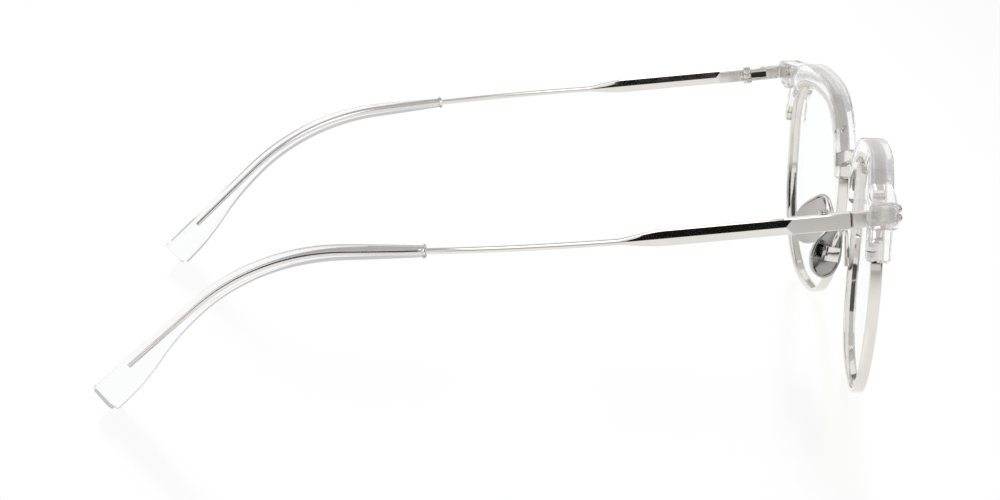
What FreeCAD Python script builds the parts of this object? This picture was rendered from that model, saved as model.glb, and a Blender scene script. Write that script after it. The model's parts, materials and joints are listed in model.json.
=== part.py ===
import FreeCAD, Part
import math
import os

V = FreeCAD.Vector
X_AXIS = V(1, 0, 0)
Y_AXIS = V(0, 1, 0)
Z_AXIS = V(0, 0, 1)

# Millimetres. +X is the wearer's left, -Y is the way the wearer looks, +Z is up.
# The left half is modelled and mirrored across X = 0. While it is modelled, Y starts
# near the front of the lenses and the table is at Z = 0.

# Eye shape, on the centre line of the metal eyewire
eye_nasal = 23.7
eye_temporal = 23.7
eye_top = 19.8
eye_bottom = 24.95
squareness_top_temporal = 3.06
squareness_top_nasal = 2.96
squareness_bottom_nasal = 2.41
squareness_bottom_temporal = 2.18
outline_point_count = 60

# Where each eye sits on the front
eye_centre_x = 33.7
eye_centre_y = 2.12
eye_centre_z = 25.34
face_wrap = 5.1
face_lean = 1.8
base_curve = 130.0

# Eyewire and lens
rim_wall = 0.9
rim_depth = 2.25
rim_edge = 0.25
groove_depth = 0.35
lens_thickness = 1.5
seat_fit = 0.02

# Closing block of the eyewire
lock_height_on_eye = 9.3
lock_half_height = 1.65
lock_radius = 1.05
lock_out = 1.45
lock_back = 1.15
lock_slit = 0.16
lock_screw_radius = 0.5
lock_screw_head_radius = 0.95
lock_screw_head_height = 0.45

# Brow piece: how far it stands out from the eyewire's middle at angles around the eye
brow_shape = [
    (16.5, 2.0), (18, 2.6), (22, 3.0), (27, 3.5), (35, 4.1), (45, 4.3), (60, 4.1), (75, 3.8),
    (90, 3.6), (105, 3.4), (120, 3.2), (135, 2.9), (148, 2.5), (158, 2.1), (164, 1.7), (166.5, 1.1),
]
brow_step = 6
brow_front_lip = 1.25
brow_rear_lip = 0.95
brow_overhang = 0.6
brow_round = 0.55
brow_end_shrink = 0.45
brow_pocket_gap = 0.1
brow_screw_angle = 143.0
brow_screw_radius = 0.45
brow_screw_length = 2.2

# End block of the brow piece, as boxes across X: x, front, rear, bottom, top
block_sections = [
    (50.0, 3.4, 6.8, 43.6, 46.2),
    (55.0, 3.6, 8.0, 41.0, 46.5),
    (59.5, 3.8, 9.2, 40.1, 46.0),
    (63.0, 4.1, 9.5, 40.8, 45.6),
    (65.9, 4.4, 9.6, 41.0, 45.3),
    (66.5, 4.8, 9.2, 41.4, 44.9),
]
block_round = 0.7

# Hinge axis on the left side and the fall of the temple towards the rear
hinge_x = 63.05
hinge_y = 17.3
hinge_z = 42.06
temple_fall = 5.83
knuckle_radius = 1.0
knuckle_half_height = 1.65
middle_half_height = 0.57
knuckle_gap = 0.05
hinge_side_gap = 0.12
hinge_screw_radius = 0.5
hinge_screw_head_radius = 0.85
hinge_screw_head_height = 0.35
pivot_fit = 0.04
seam_ahead = 4.35
seam_gap = 0.12

# Hinge leaves
leaf_thickness = 0.9
front_leaf_length = 2.7
front_leaf_half_height = 1.35
temple_leaf_start = 1.3
temple_leaf_end = 6.4
temple_leaf_thickness = 0.75

# End piece: a tongue that bends inwards into the brow's end block
end_piece_thickness = 1.3
end_piece_half_height = 1.4
end_piece_bend_ahead = 6.7
end_piece_length_ahead = 12.4
end_piece_inset = 1.9
rivet_spacing = 1.7
rivet_shank_radius = 0.4
rivet_shank_length = 1.0
rivet_head_radius = 0.72
rivet_head_height = 0.75
rivet_front_ahead = 13.3

# Temple bar, taper and wire core
bar_thickness = 1.3
bar_half_height = 1.5
bar_ridge = 0.22
bar_edge = 0.18
ridge_start_y = 23.3
ridge_run_out = 1.2
bar_end_y = 46.8
wire_start_y = 54.3
wire_radius = 0.6
wire_end_y = 146.0
wire_ring_count = 24

# Temple route: seen from above and from the side
inward_start_y = 58.0
inward_radius = 173.0
inward_turn = 12.6
second_fall = 4.65
second_fall_start_y = 55.0
ear_bend_start_y = 104.0
ear_bend_radius = 47.0
drop_angle = 43.5

# Ear tip: stations along Y, then the height above and below the core and the half thickness
tip_stations = [
    (89.2, 1.03, 1.03, 1.03),
    (92.0, 1.12, 1.12, 1.12),
    (98.0, 1.28, 1.28, 1.28),
    (107.0, 1.42, 1.45, 1.42),
    (117.0, 1.5, 1.55, 1.5),
    (125.0, 1.5, 1.65, 1.5),
    (131.0, 1.5, 1.75, 1.5),
    (136.0, 1.5, 2.05, 1.45),
    (140.0, 1.5, 2.75, 1.4),
    (144.0, 1.5, 3.9, 1.35),
    (148.0, 1.5, 4.7, 1.3),
    (156.0, 1.5, 5.0, 1.25),
]
tip_ring_count = 19
tip_round = 0.75
tip_end_y = 152.3
tip_lower_corner = 2.0
tip_upper_corner = 0.8
core_fit = 0.02

# Bridge: an arch across X from eyewire to eyewire
bridge_overlap = 1.5
bridge_arch_span = 13.5
bridge_middle_y = 1.75
bridge_middle_z = 38.1
bridge_rise = 3.4
bridge_sweep = 0.9
bridge_half_depth = 1.05
bridge_middle_half_height = 1.3
bridge_end_half_height = 1.65
bridge_ring_count = 15
bridge_round = 0.45

# Nose rest: the arm's foot stands on the back of the eyewire, this far below the eye's centre.
# The pad's centre and the arm's route are measured from the foot.
arm_foot_drop = 7.74
pad_centre = (1.6, 4.76, 3.8)

# Nose pad, in its own frame: x away from the nose, y to the rear, z up
pad_frontal_angle = 17.0
pad_lean = 13.6
pad_splay = 6.0
pad_outline = [
    (-0.9, 6.0), (1.2, 4.3), (2.9, 1.6), (3.45, -1.6), (2.4, -4.6),
    (0.0, -5.8), (-2.3, -4.7), (-3.35, -1.8), (-3.0, 1.8), (-2.2, 4.6),
]
pad_point_count = 24
pad_thickness = 1.3
pad_edge = 0.45
pad_floor = 0.55
pad_flange = 0.5
lug_depth = 1.3
lug_height = 1.5
lug_length = 1.6

# Box that holds the pad's lug, and its screw
box_rise = -0.4
box_depth = 3.2
box_height = 2.9
box_reach = 2.1
box_wall = 0.55
box_gap = 0.35
box_stand_off = 0.45
pad_screw_radius = 0.4
pad_screw_head_radius = 0.65
pad_screw_head_height = 0.4

# Pad arm: a bent wire from the eyewire's nasal side to the box, thicker at its foot
arm_radius = 0.45
arm_foot_radius = 0.7
arm_foot_share = 0.3
arm_ring_count = 18
arm_side_count = 8
arm_points = [
    (0.05, 0.11, 0.0), (-0.2, 0.26, 2.4), (-0.2, 0.46, 4.8), (0.45, 0.71, 7.0),
    (2.4, 1.56, 8.5), (3.9, 2.66, 8.2), (4.25, 3.46, 6.8), (3.6, 3.86, 4.9),
]


# Sides of the small fixed pins
pillar_side_count = 12


# General shapes

def interpolated(points, closed):
    curve = Part.BSplineCurve()
    curve.interpolate(Points=points, PeriodicFlag=closed)
    return curve


def polygon(points):
    return Part.makePolygon(points + [points[0]])


def circle_section(centre, side, up, radius, count):
    points = []
    for k in range(count):
        turn = math.pi - 2 * math.pi * k / count
        points.append(centre + side * (radius * math.cos(turn)) + up * (radius * math.sin(turn)))
    return polygon(points)


def rounded_section(centre, side, up, left, right, low, high, radius):
    # A rectangle with softened corners across the two directions side and up
    inside = radius * (1 - math.sqrt(0.5))
    marks = []
    for a, b, sa, sb in ((right, high, 1, 1), (left, high, -1, 1), (left, low, -1, -1), (right, low, 1, -1)):
        corner = [(a, b - sb * radius), (a - sa * inside, b - sb * inside), (a - sa * radius, b)]
        marks += corner if sa * sb > 0 else corner[::-1]
    return polygon([centre + side * a + up * b for a, b in marks])


def between(table, at):
    # The row of values at one place in a table, from the rows on either side
    for low, high in zip(table, table[1:]):
        if at <= high[0]:
            share = (at - low[0]) / (high[0] - low[0])
            return [a + (b - a) * share for a, b in zip(low[1:], high[1:])]
    return list(table[-1][1:])


def even_steps(start, end, count):
    return [start + (end - start) * k / (count - 1) for k in range(count)]


def loft(sections):
    return Part.makeLoft(sections, True, True)


def pillar(start, along, rings):
    # A many-sided pin, as pairs of distance and radius along its axis
    across = Z_AXIS if abs(along.z) < abs(along.x) + abs(along.y) else X_AXIS
    side = (across - along * across.dot(along)).normalize()
    up = along.cross(side)
    return loft([circle_section(start + along * at, side, up, radius, pillar_side_count) for at, radius in rings])


def placed(shape, placement):
    copy = shape.copy()
    copy.Placement = placement.multiply(copy.Placement)
    return copy


def mirrored(shape):
    return shape.mirror(V(0, 0, 0), X_AXIS)


def box_between(low, high):
    return Part.makeBox(high[0] - low[0], high[1] - low[1], high[2] - low[2], V(*low))


# Eye frame: x to the temple side, y to the rear, z up, from the eye's centre

def eye_base_point(angle):
    c = math.cos(angle)
    s = math.sin(angle)
    half_width = eye_temporal if c >= 0 else eye_nasal
    half_height = eye_top if s >= 0 else eye_bottom
    if s >= 0:
        power = squareness_top_temporal if c >= 0 else squareness_top_nasal
    else:
        power = squareness_bottom_temporal if c >= 0 else squareness_bottom_nasal
    reach = (abs(c / half_width) ** power + abs(s / half_height) ** power) ** (-1 / power)
    return V(reach * c, 0, reach * s)


def eye_normal(angle):
    small = 1e-4
    along = eye_base_point(angle + small) - eye_base_point(angle - small)
    return V(along.z, 0, -along.x).normalize()


def eye_point(angle, offset):
    return eye_base_point(angle) + eye_normal(angle) * offset


def eye_depth(point):
    # How far the curved lens surface lies behind the eye's centre
    return base_curve - math.sqrt(base_curve ** 2 - point.x ** 2 - point.z ** 2)


def eye_prism(offset):
    reach = eye_bottom
    points = [eye_point(2 * math.pi * k / outline_point_count, offset) for k in range(outline_point_count)]
    face = Part.Face(polygon(points))
    face.translate(V(0, -reach, 0))
    return face.extrude(V(0, 2 * reach, 0))


def curved_disc(offset, half_depth):
    # A plate of the eye's outline, bent to the base curve
    centre = V(0, base_curve, 0)
    outer = Part.makeSphere(base_curve + half_depth, centre)
    inner = Part.makeSphere(base_curve - half_depth, centre)
    return eye_prism(offset).common(outer).cut(inner)


def eye_ring(marks):
    # One section, as pairs of offset and depth, carried around the eye's outline
    sections = []
    for k in range(outline_point_count):
        angle = 2 * math.pi * k / outline_point_count
        points = []
        for offset, depth in marks:
            point = eye_point(angle, offset)
            sag = eye_depth(point)
            point.y = sag + depth * base_curve / (base_curve - sag)
            points.append(point)
        sections.append(polygon(points))
    return Part.makeLoft(sections, True, True, True)


def temporal_half_width(height):
    power = squareness_top_temporal
    return eye_temporal * (1 - (height / eye_top) ** power) ** (1 / power)


def nasal_half_width(drop):
    power = squareness_bottom_nasal
    return eye_nasal * (1 - (drop / eye_bottom) ** power) ** (1 / power)


eye_turn = FreeCAD.Rotation(X_AXIS, face_lean).multiply(FreeCAD.Rotation(Z_AXIS, face_wrap))
eye_place = FreeCAD.Placement(V(eye_centre_x, eye_centre_y, eye_centre_z), eye_turn)

lens_offset = groove_depth - rim_wall / 2 - seat_fit
lock_side = temporal_half_width(lock_height_on_eye)
lock_surface = eye_depth(V(lock_side, 0, lock_height_on_eye))
lock_axis = V(lock_side + lock_out, lock_surface + lock_back, lock_height_on_eye)
lock_bottom = lock_height_on_eye - lock_half_height
brow_screw_turn = math.radians(brow_screw_angle)


def brow_screw(radius, length):
    start = eye_point(brow_screw_turn, lens_offset + seat_fit)
    start.y = eye_depth(start)
    return pillar(start, eye_normal(brow_screw_turn), [(0, radius), (length, radius)])


def make_rim():
    out = rim_wall / 2
    deep = rim_depth / 2
    floor = lens_offset + seat_fit
    seat = lens_thickness / 2 + seat_fit
    body = eye_ring([
        (out, rim_edge - deep), (out, deep - rim_edge), (out - rim_edge, deep), (-out, deep),
        (-out, seat), (floor, seat), (floor, -seat), (-out, -seat), (-out, -deep), (out - rim_edge, -deep),
    ])
    slit_low = (lock_side - lock_out, -eye_bottom, lock_height_on_eye - lock_slit / 2)
    slit_high = (lock_side + lock_out, eye_bottom, lock_height_on_eye + lock_slit / 2)
    body = body.cut(box_between(slit_low, slit_high))
    return body.cut(brow_screw(brow_screw_radius + seat_fit, brow_screw_length))


def make_lens():
    return curved_disc(lens_offset, lens_thickness / 2)


def lock_half(bottom, top):
    barrel = Part.makeCylinder(lock_radius, top - bottom, V(lock_axis.x, lock_axis.y, bottom), Z_AXIS)
    web_low = (lock_side - rim_wall, lock_axis.y - lock_radius, bottom)
    web_high = (lock_axis.x, lock_axis.y + lock_radius, top)
    body = barrel.fuse(box_between(web_low, web_high)).cut(eye_prism(rim_wall / 2))
    return body.cut(lock_screw_shank(lock_screw_radius + seat_fit)).removeSplitter()


def lock_screw_shank(radius):
    length = 2 * lock_half_height - lock_screw_head_height
    return pillar(V(lock_axis.x, lock_axis.y, lock_bottom), Z_AXIS, [(0, radius), (length, radius)])


def make_lock_screw():
    start = V(lock_axis.x, lock_axis.y, lock_bottom - lock_screw_head_height)
    head = Part.makeCylinder(lock_screw_head_radius, lock_screw_head_height, start, Z_AXIS)
    head = head.cut(eye_prism(rim_wall / 2 + seat_fit))
    return head.fuse(lock_screw_shank(lock_screw_radius)).removeSplitter()


def lock_pocket():
    # Room for the closing block in the brow's lower leg, open to the rear and below
    gap = brow_pocket_gap
    low = (lock_side - lock_out, lock_axis.y - lock_radius - gap, 0)
    high = (
        lock_axis.x + lock_radius + gap,
        lock_axis.y + eye_temporal,
        lock_height_on_eye + lock_half_height + gap,
    )
    return box_between(low, high)


def brow_band():
    ends = [brow_shape[0][0], brow_shape[-1][0]]
    inner_ends = [brow_shape[1][0], brow_shape[-2][0]]
    middle = [turn for turn in range(0, 180, brow_step) if inner_ends[0] < turn < inner_ends[1]]
    sections = []
    for angle in sorted(ends + inner_ends + middle):
        turn = math.radians(angle)
        base = eye_base_point(turn)
        base.y = eye_depth(base)
        shrink = brow_end_shrink if angle in ends else 0
        front = -rim_depth / 2 - brow_front_lip + shrink
        rear = rim_depth / 2 + brow_rear_lip - shrink
        height = between(brow_shape, angle)[0]
        up = eye_normal(turn)
        sections.append(rounded_section(base, Y_AXIS, up, front, rear, -brow_overhang, height, brow_round))
    return loft(sections)


def brow_block():
    sections = []
    for x, front, rear, bottom, top in block_sections:
        wire = rounded_section(V(x, 0, 0), Y_AXIS, Z_AXIS, front, rear, bottom, top, block_round)
        sections.append(wire)
    return loft(sections)


# Hinge frame: y along the temple to the rear, z along the hinge screw

hinge_turn = FreeCAD.Rotation(X_AXIS, -temple_fall)
hinge_place = FreeCAD.Placement(V(hinge_x, hinge_y, hinge_z), hinge_turn)
bar_inner = knuckle_radius + hinge_side_gap


def knuckle(bottom, top):
    return Part.makeCylinder(knuckle_radius, top - bottom, V(0, 0, bottom), Z_AXIS)


def hinge_screw_shank(radius):
    bottom = V(0, 0, -knuckle_half_height)
    return Part.makeCylinder(radius, 2 * knuckle_half_height, bottom, Z_AXIS)


def make_hinge_screw():
    head_start = V(0, 0, knuckle_half_height)
    head = Part.makeCylinder(hinge_screw_head_radius, hinge_screw_head_height, head_start, Z_AXIS)
    return head.fuse(hinge_screw_shank(hinge_screw_radius)).removeSplitter()


def make_front_leaf():
    half = front_leaf_half_height
    slot_half = middle_half_height + knuckle_gap
    seam = -seam_ahead - seam_gap
    inner = bar_inner - hinge_side_gap - leaf_thickness
    plate = box_between((inner, seam - front_leaf_length, -half), (bar_inner, seam, half))
    arms = box_between((inner, seam, -half), (knuckle_radius, 0, half))
    body = plate.fuse([arms, knuckle(-knuckle_half_height, knuckle_half_height)])
    slot = box_between((-2 * knuckle_radius, seam, -slot_half), (2 * knuckle_radius, seam_ahead, slot_half))
    body = body.cut([slot, end_piece_band(0)])
    return body.cut(hinge_screw_shank(hinge_screw_radius + seat_fit)).removeSplitter()


def make_temple_leaf():
    half = front_leaf_half_height
    inner = bar_inner - temple_leaf_thickness
    plate = box_between((inner, temple_leaf_start, -half), (bar_inner, temple_leaf_end, half))
    end_edges = [edge for edge in plate.Edges if abs(edge.CenterOfMass.y - temple_leaf_end) < seat_fit
                 and abs(edge.CenterOfMass.x - (inner + bar_inner) / 2) < seat_fit]
    plate = plate.makeFillet(half / 2, end_edges)
    arm_low = (inner, 0, -middle_half_height)
    arm_high = (bar_inner, temple_leaf_start, middle_half_height)
    body = plate.fuse([box_between(arm_low, arm_high), knuckle(-middle_half_height, middle_half_height)])
    return body.cut(hinge_screw_shank(hinge_screw_radius + pivot_fit)).removeSplitter()


def end_piece_band(spread):
    # The tongue seen from above: straight at the hinge, then turned inwards
    outer = bar_inner + end_piece_thickness
    seam = -seam_ahead - seam_gap
    run = end_piece_length_ahead - end_piece_bend_ahead
    skew = end_piece_inset / run
    ahead = -end_piece_length_ahead
    points = [
        V(bar_inner - spread, seam, 0),
        V(bar_inner - spread, -end_piece_bend_ahead, 0),
        V(bar_inner - spread - skew * run, ahead - spread, 0),
        V(outer + spread - skew * run, ahead - spread, 0),
        V(outer + spread, -end_piece_bend_ahead, 0),
        V(outer + spread, seam, 0),
    ]
    face = Part.Face(Part.makePolygon(points + [points[0]]))
    half = end_piece_half_height + spread
    face.translate(V(0, 0, -half))
    body = face.extrude(V(0, 0, 2 * half))
    bends = []
    for edge in body.Edges:
        middle = edge.CenterOfMass
        if abs(middle.y + end_piece_bend_ahead) < seat_fit and abs(middle.z) < seat_fit:
            bends.append(edge)
    return body.makeChamfer(end_piece_thickness / 2, bends)


def rivet_spots():
    x = bar_inner + end_piece_thickness / 2 - end_piece_inset
    return [V(x, -rivet_front_ahead, side * rivet_spacing / 2) for side in (-1, 1)]


def rivet_shank(spot, radius):
    length = rivet_front_ahead - end_piece_length_ahead + rivet_shank_length
    return pillar(spot, Y_AXIS, [(0, radius), (length, radius)])


def make_end_piece():
    body = end_piece_band(0)
    for spot in rivet_spots():
        body = body.cut(rivet_shank(spot, rivet_shank_radius + seat_fit))
    return body


def make_rivets():
    rivets = []
    for spot in rivet_spots():
        rim_of_head = (-rivet_head_height / 2, rivet_head_radius)
        head = pillar(spot, Y_AXIS, [(-rivet_head_height, rivet_shank_radius), rim_of_head, (0, rivet_head_radius)])
        rivets.append(head.fuse(rivet_shank(spot, rivet_shank_radius)).removeSplitter())
    return rivets


# Route of the temple in the glasses' own frame

wire_side_count = 10
wire_stations = even_steps(wire_start_y, wire_end_y, wire_ring_count)


def temple_x(y):
    centre = hinge_x + bar_inner + bar_thickness / 2
    turn = math.radians(inward_turn)
    run = min(max(y - inward_start_y, 0), inward_radius * math.sin(turn))
    inward = inward_radius - math.sqrt(inward_radius ** 2 - run ** 2)
    past = max(y - inward_start_y - inward_radius * math.sin(turn), 0)
    return centre - inward - past * math.tan(turn)


def temple_z(y):
    first = math.tan(math.radians(temple_fall))
    second = math.radians(second_fall)
    drop = math.radians(drop_angle)
    z = hinge_z - first * (min(y, second_fall_start_y) - hinge_y)
    z -= math.tan(second) * max(min(y, ear_bend_start_y) - second_fall_start_y, 0)
    reach = ear_bend_radius * (math.sin(drop) - math.sin(second))
    run = min(max(y - ear_bend_start_y, 0), reach)
    across = math.sqrt(ear_bend_radius ** 2 - (ear_bend_radius * math.sin(second) + run) ** 2)
    z -= ear_bend_radius * math.cos(second) - across
    return z - max(y - ear_bend_start_y - reach, 0) * math.tan(drop)


def temple_point(y):
    return V(temple_x(y), y, temple_z(y))


def temple_frame(y):
    # Point, direction to the rear, sideways and upward directions of the route
    small = 0.05
    along = (temple_point(y + small) - temple_point(y - small)).normalize()
    side = along.cross(Z_AXIS).normalize()
    return temple_point(y), along, side, side.cross(along)


def bar_profile(y, ridge):
    # A ridge along the middle of each side face, or flat sides, with softened edges
    point, along, side, up = temple_frame(y)
    outer = bar_thickness / 2
    shoulder = outer - ridge
    high = bar_half_height
    quarter = [(-outer, 0), (-shoulder, high - bar_edge), (bar_edge - shoulder, high)]
    marks = quarter + [(-a, b) for a, b in reversed(quarter)]
    marks += [(-a, -b) for a, b in quarter[1:]] + [(a, -b) for a, b in reversed(quarter[1:])]
    return polygon([point + side * a + up * b for a, b in marks])


def wire_profile(y, radius):
    point, along, side, up = temple_frame(y)
    return circle_section(point, side, up, radius, wire_side_count)


def core_wire(radius, extra):
    rings = [wire_profile(y, radius) for y in wire_stations[:-1]]
    return rings + [wire_profile(wire_end_y + extra, radius)]


def make_temple():
    bar = [bar_profile(hinge_y - seam_ahead, 0), bar_profile(ridge_start_y, 0)]
    bar += [bar_profile(ridge_start_y + ridge_run_out, bar_ridge), bar_profile(bar_end_y, bar_ridge)]
    return loft(bar + core_wire(wire_radius, 0))


def make_tip():
    mouth = tip_stations[0][0]
    sections = []
    for y in even_steps(mouth, tip_stations[-1][0], tip_ring_count):
        above, below, half = between(tip_stations, y)
        point, along, side, up = temple_frame(y)
        radius = min(tip_round, half - core_fit) if y > mouth else half - core_fit
        sections.append(rounded_section(point, side, up, -half, half, -below, above, radius))
    body = loft(sections).common(tip_end_profile())
    return body.cut(loft(core_wire(wire_radius + core_fit, core_fit)))


def tip_end_profile():
    # The tip's end seen from the side: cut square, with its two corners taken off
    point, along, side, up = temple_frame(tip_end_y)
    above, below, half = between(tip_stations, tip_end_y)
    span = 3 * ear_bend_radius
    slope = math.radians(22.5)
    lower = tip_lower_corner * (1 - math.sqrt(0.5))
    upper = tip_upper_corner * (1 - math.sqrt(0.5))
    marks = [
        (0, tip_lower_corner - below), (-lower, lower - below),
        (-lower - span * math.cos(slope), lower - below - span * math.sin(slope)),
        (-upper - span * math.cos(slope), above - upper + span * math.sin(slope)),
        (-upper, above - upper), (0, above - tip_upper_corner),
    ]
    face = Part.Face(polygon([point + along * a + up * b for a, b in marks]))
    face.translate(side * -ear_bend_radius)
    return face.extrude(side * (2 * ear_bend_radius))


# Bridge and nose rest

def make_bridge(rim_prism):
    bridge_reach = eye_centre_x - eye_nasal + bridge_overlap
    sections = []
    for x in even_steps(-bridge_reach, bridge_reach, bridge_ring_count):
        fall = (1 - math.cos(math.pi * x / bridge_arch_span)) / 2
        spot = V(x, bridge_middle_y + bridge_sweep * fall, bridge_middle_z - bridge_rise * fall)
        share = abs(x) / bridge_reach
        high = bridge_middle_half_height + (bridge_end_half_height - bridge_middle_half_height) * share
        depth = bridge_half_depth
        sections.append(rounded_section(spot, Y_AXIS, Z_AXIS, -depth, depth, -high, high, bridge_round))
    return loft(sections).cut([rim_prism, mirrored(rim_prism)])


arm_foot = V(-nasal_half_width(arm_foot_drop), 0, -arm_foot_drop)
arm_foot.y = eye_depth(arm_foot) + rim_depth / 2
arm_foot = eye_place.multVec(arm_foot)
pad_turn = FreeCAD.Rotation(Z_AXIS, -pad_frontal_angle)
pad_turn = pad_turn.multiply(FreeCAD.Rotation(X_AXIS, pad_lean))
pad_turn = pad_turn.multiply(FreeCAD.Rotation(Y_AXIS, -pad_splay))
pad_place = FreeCAD.Placement(arm_foot + V(*pad_centre), pad_turn)
box_inner = pad_thickness / 2 + box_stand_off
lug_outer = box_inner + lug_length
pivot = V(box_inner + box_reach / 2, 0, box_rise)


def pad_ring(x, inset):
    # The pad's outline at one depth, drawn in evenly
    curve = interpolated([V(0, y, z) for y, z in pad_outline], True)
    points = []
    for at in even_steps(curve.FirstParameter, curve.LastParameter, pad_point_count + 1)[:-1]:
        along = curve.tangent(at)[0]
        points.append(curve.value(at) + V(x, along.z * inset, -along.y * inset))
    return polygon(points)


def make_pad():
    nose_side = -pad_thickness / 2
    back = pad_thickness / 2
    sections = [
        pad_ring(nose_side, pad_edge),
        pad_ring(nose_side + pad_edge / 4, pad_edge / 3),
        pad_ring(nose_side + pad_edge, 0),
        pad_ring(back, 0),
    ]
    body = loft(sections)
    floor = nose_side + pad_floor
    hollow = loft([pad_ring(floor, pad_flange), pad_ring(back + pad_floor, pad_flange)])
    body = body.cut(hollow)
    lug_low = (floor, -lug_depth / 2, box_rise - lug_height / 2)
    lug_high = (lug_outer, lug_depth / 2, box_rise + lug_height / 2)
    body = body.fuse(box_between(lug_low, lug_high))
    return body.cut(pad_screw_shank(pad_screw_radius + pivot_fit)).removeSplitter()


def pad_box_block():
    low = (box_inner, -box_depth / 2, box_rise - box_height / 2)
    high = (box_inner + box_reach, box_depth / 2, box_rise + box_height / 2)
    return box_between(low, high)


def make_pad_box():
    body = pad_box_block()
    upright = [edge for edge in body.Edges if abs(edge.CenterOfMass.z - box_rise) < seat_fit]
    body = body.makeChamfer(box_wall / 2, upright)
    room_low = (box_inner - box_wall, -lug_depth / 2 - box_gap / 2, box_rise - lug_height / 2 - box_gap)
    room_high = (lug_outer + box_gap, lug_depth / 2 + box_gap / 2, box_rise + lug_height / 2 + box_gap)
    body = body.cut(box_between(room_low, room_high))
    return body.cut(pad_screw_shank(pad_screw_radius + seat_fit))


def pad_screw_shank(radius):
    return Part.makeCylinder(radius, box_depth, V(pivot.x, -box_depth / 2, pivot.z), Y_AXIS)


def make_pad_screw():
    head_start = V(pivot.x, box_depth / 2, pivot.z)
    head = Part.makeCylinder(pad_screw_head_radius, pad_screw_head_height, head_start, Y_AXIS)
    return head.fuse(pad_screw_shank(pad_screw_radius)).removeSplitter()


def make_arm(rim_disc, box):
    curve = interpolated([arm_foot + V(*point) for point in arm_points], False)
    across = X_AXIS
    rings = []
    for at in even_steps(curve.FirstParameter, curve.LastParameter, arm_ring_count):
        along = curve.tangent(at)[0]
        across = (across - along * across.dot(along)).normalize()
        share = (at - curve.FirstParameter) / (curve.LastParameter - curve.FirstParameter)
        swell = max(0, 1 - share / arm_foot_share)
        radius = arm_radius + (arm_foot_radius - arm_radius) * swell
        rings.append(circle_section(curve.value(at), across, along.cross(across), radius, arm_side_count))
    return loft(rings).cut([rim_disc, box])


# Assembly of the left half

rim = placed(make_rim(), eye_place)
rim_prism = placed(eye_prism(rim_wall / 2), eye_place)
rim_disc = placed(curved_disc(rim_wall / 2 + seat_fit, rim_depth / 2 + seat_fit), eye_place)
bridge = make_bridge(rim_prism)
end_piece = placed(make_end_piece(), hinge_place)
lock_screw = placed(make_lock_screw(), eye_place)
fitted_brow_screw = placed(brow_screw(brow_screw_radius, brow_screw_length), eye_place)
rivets = [placed(rivet, hinge_place) for rivet in make_rivets()]


def make_brow():
    out = rim_wall / 2 + seat_fit
    deep = rim_depth / 2 + seat_fit
    inside = -rim_wall - brow_overhang
    channel = placed(eye_ring([(out, -deep), (out, deep), (inside, deep), (inside, -deep)]), eye_place)
    body = placed(brow_band(), eye_place).fuse(brow_block())
    body = body.cut(channel)
    body = body.cut(placed(lock_pocket(), eye_place))
    body = body.cut(placed(end_piece_band(seat_fit), hinge_place))
    holes = [placed(rivet_shank(spot, rivet_shank_radius + seat_fit), hinge_place) for spot in rivet_spots()]
    holes += rivets
    holes.append(placed(brow_screw(brow_screw_radius + seat_fit, brow_screw_length + seat_fit), eye_place))
    return body.cut(holes).cut(bridge)


left = {
    "rim": rim,
    "lens": placed(make_lens(), eye_place),
    "brow": make_brow(),
    "rim_lock_upper": placed(
        lock_half(lock_height_on_eye + lock_slit / 2, lock_height_on_eye + lock_half_height), eye_place),
    "rim_lock_lower": placed(lock_half(lock_bottom, lock_height_on_eye - lock_slit / 2), eye_place),
    "end_piece": end_piece,
    "hinge_front_leaf": placed(make_front_leaf(), hinge_place),
    "hinge_temple_leaf": placed(make_temple_leaf(), hinge_place),
    "temple": make_temple(),
    "temple_tip": make_tip(),
    "pad_arm": make_arm(rim_disc, placed(pad_box_block(), pad_place)),
    "pad_box": placed(make_pad_box(), pad_place),
    "nose_pad": placed(make_pad(), pad_place),
}
groups = {
    "rim_lock_screws": [lock_screw],
    "brow_screws": [fitted_brow_screw],
    "front_rivets": rivets,
    "hinge_screws": [placed(make_hinge_screw(), hinge_place)],
    "pad_screws": [placed(make_pad_screw(), pad_place)],
}

nodes = {"bridge": bridge}
for name, shape in left.items():
    nodes[name + "_left"] = shape
    nodes[name + "_right"] = mirrored(shape)
for name, shapes in groups.items():
    nodes[name] = Part.makeCompound(shapes + [mirrored(shape) for shape in shapes])

# The origin goes to the table, under the middle of the whole object
whole = Part.makeCompound(list(nodes.values())).optimalBoundingBox(False, False)
shift = V(0, -(whole.YMin + whole.YMax) / 2, -whole.ZMin)
os.makedirs("parts", exist_ok=True)
for name, shape in nodes.items():
    moved = placed(shape, FreeCAD.Placement(shift, FreeCAD.Rotation()))
    moved.exportStep("parts/" + name + ".step")

size = (whole.XLength, whole.YLength, whole.ZLength)
print("size %.2f x %.2f x %.2f mm" % size)
print("shift", shift)
hinge_point = hinge_place.Base + shift
print("hinge point", hinge_point, "axis", hinge_turn.multVec(Z_AXIS))
print("pad pivot", pad_place.multVec(pivot) + shift, "axis", pad_turn.multVec(Y_AXIS))
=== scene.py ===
import json
import math

import bmesh
import bpy
from mathutils import Matrix, Vector


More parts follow.
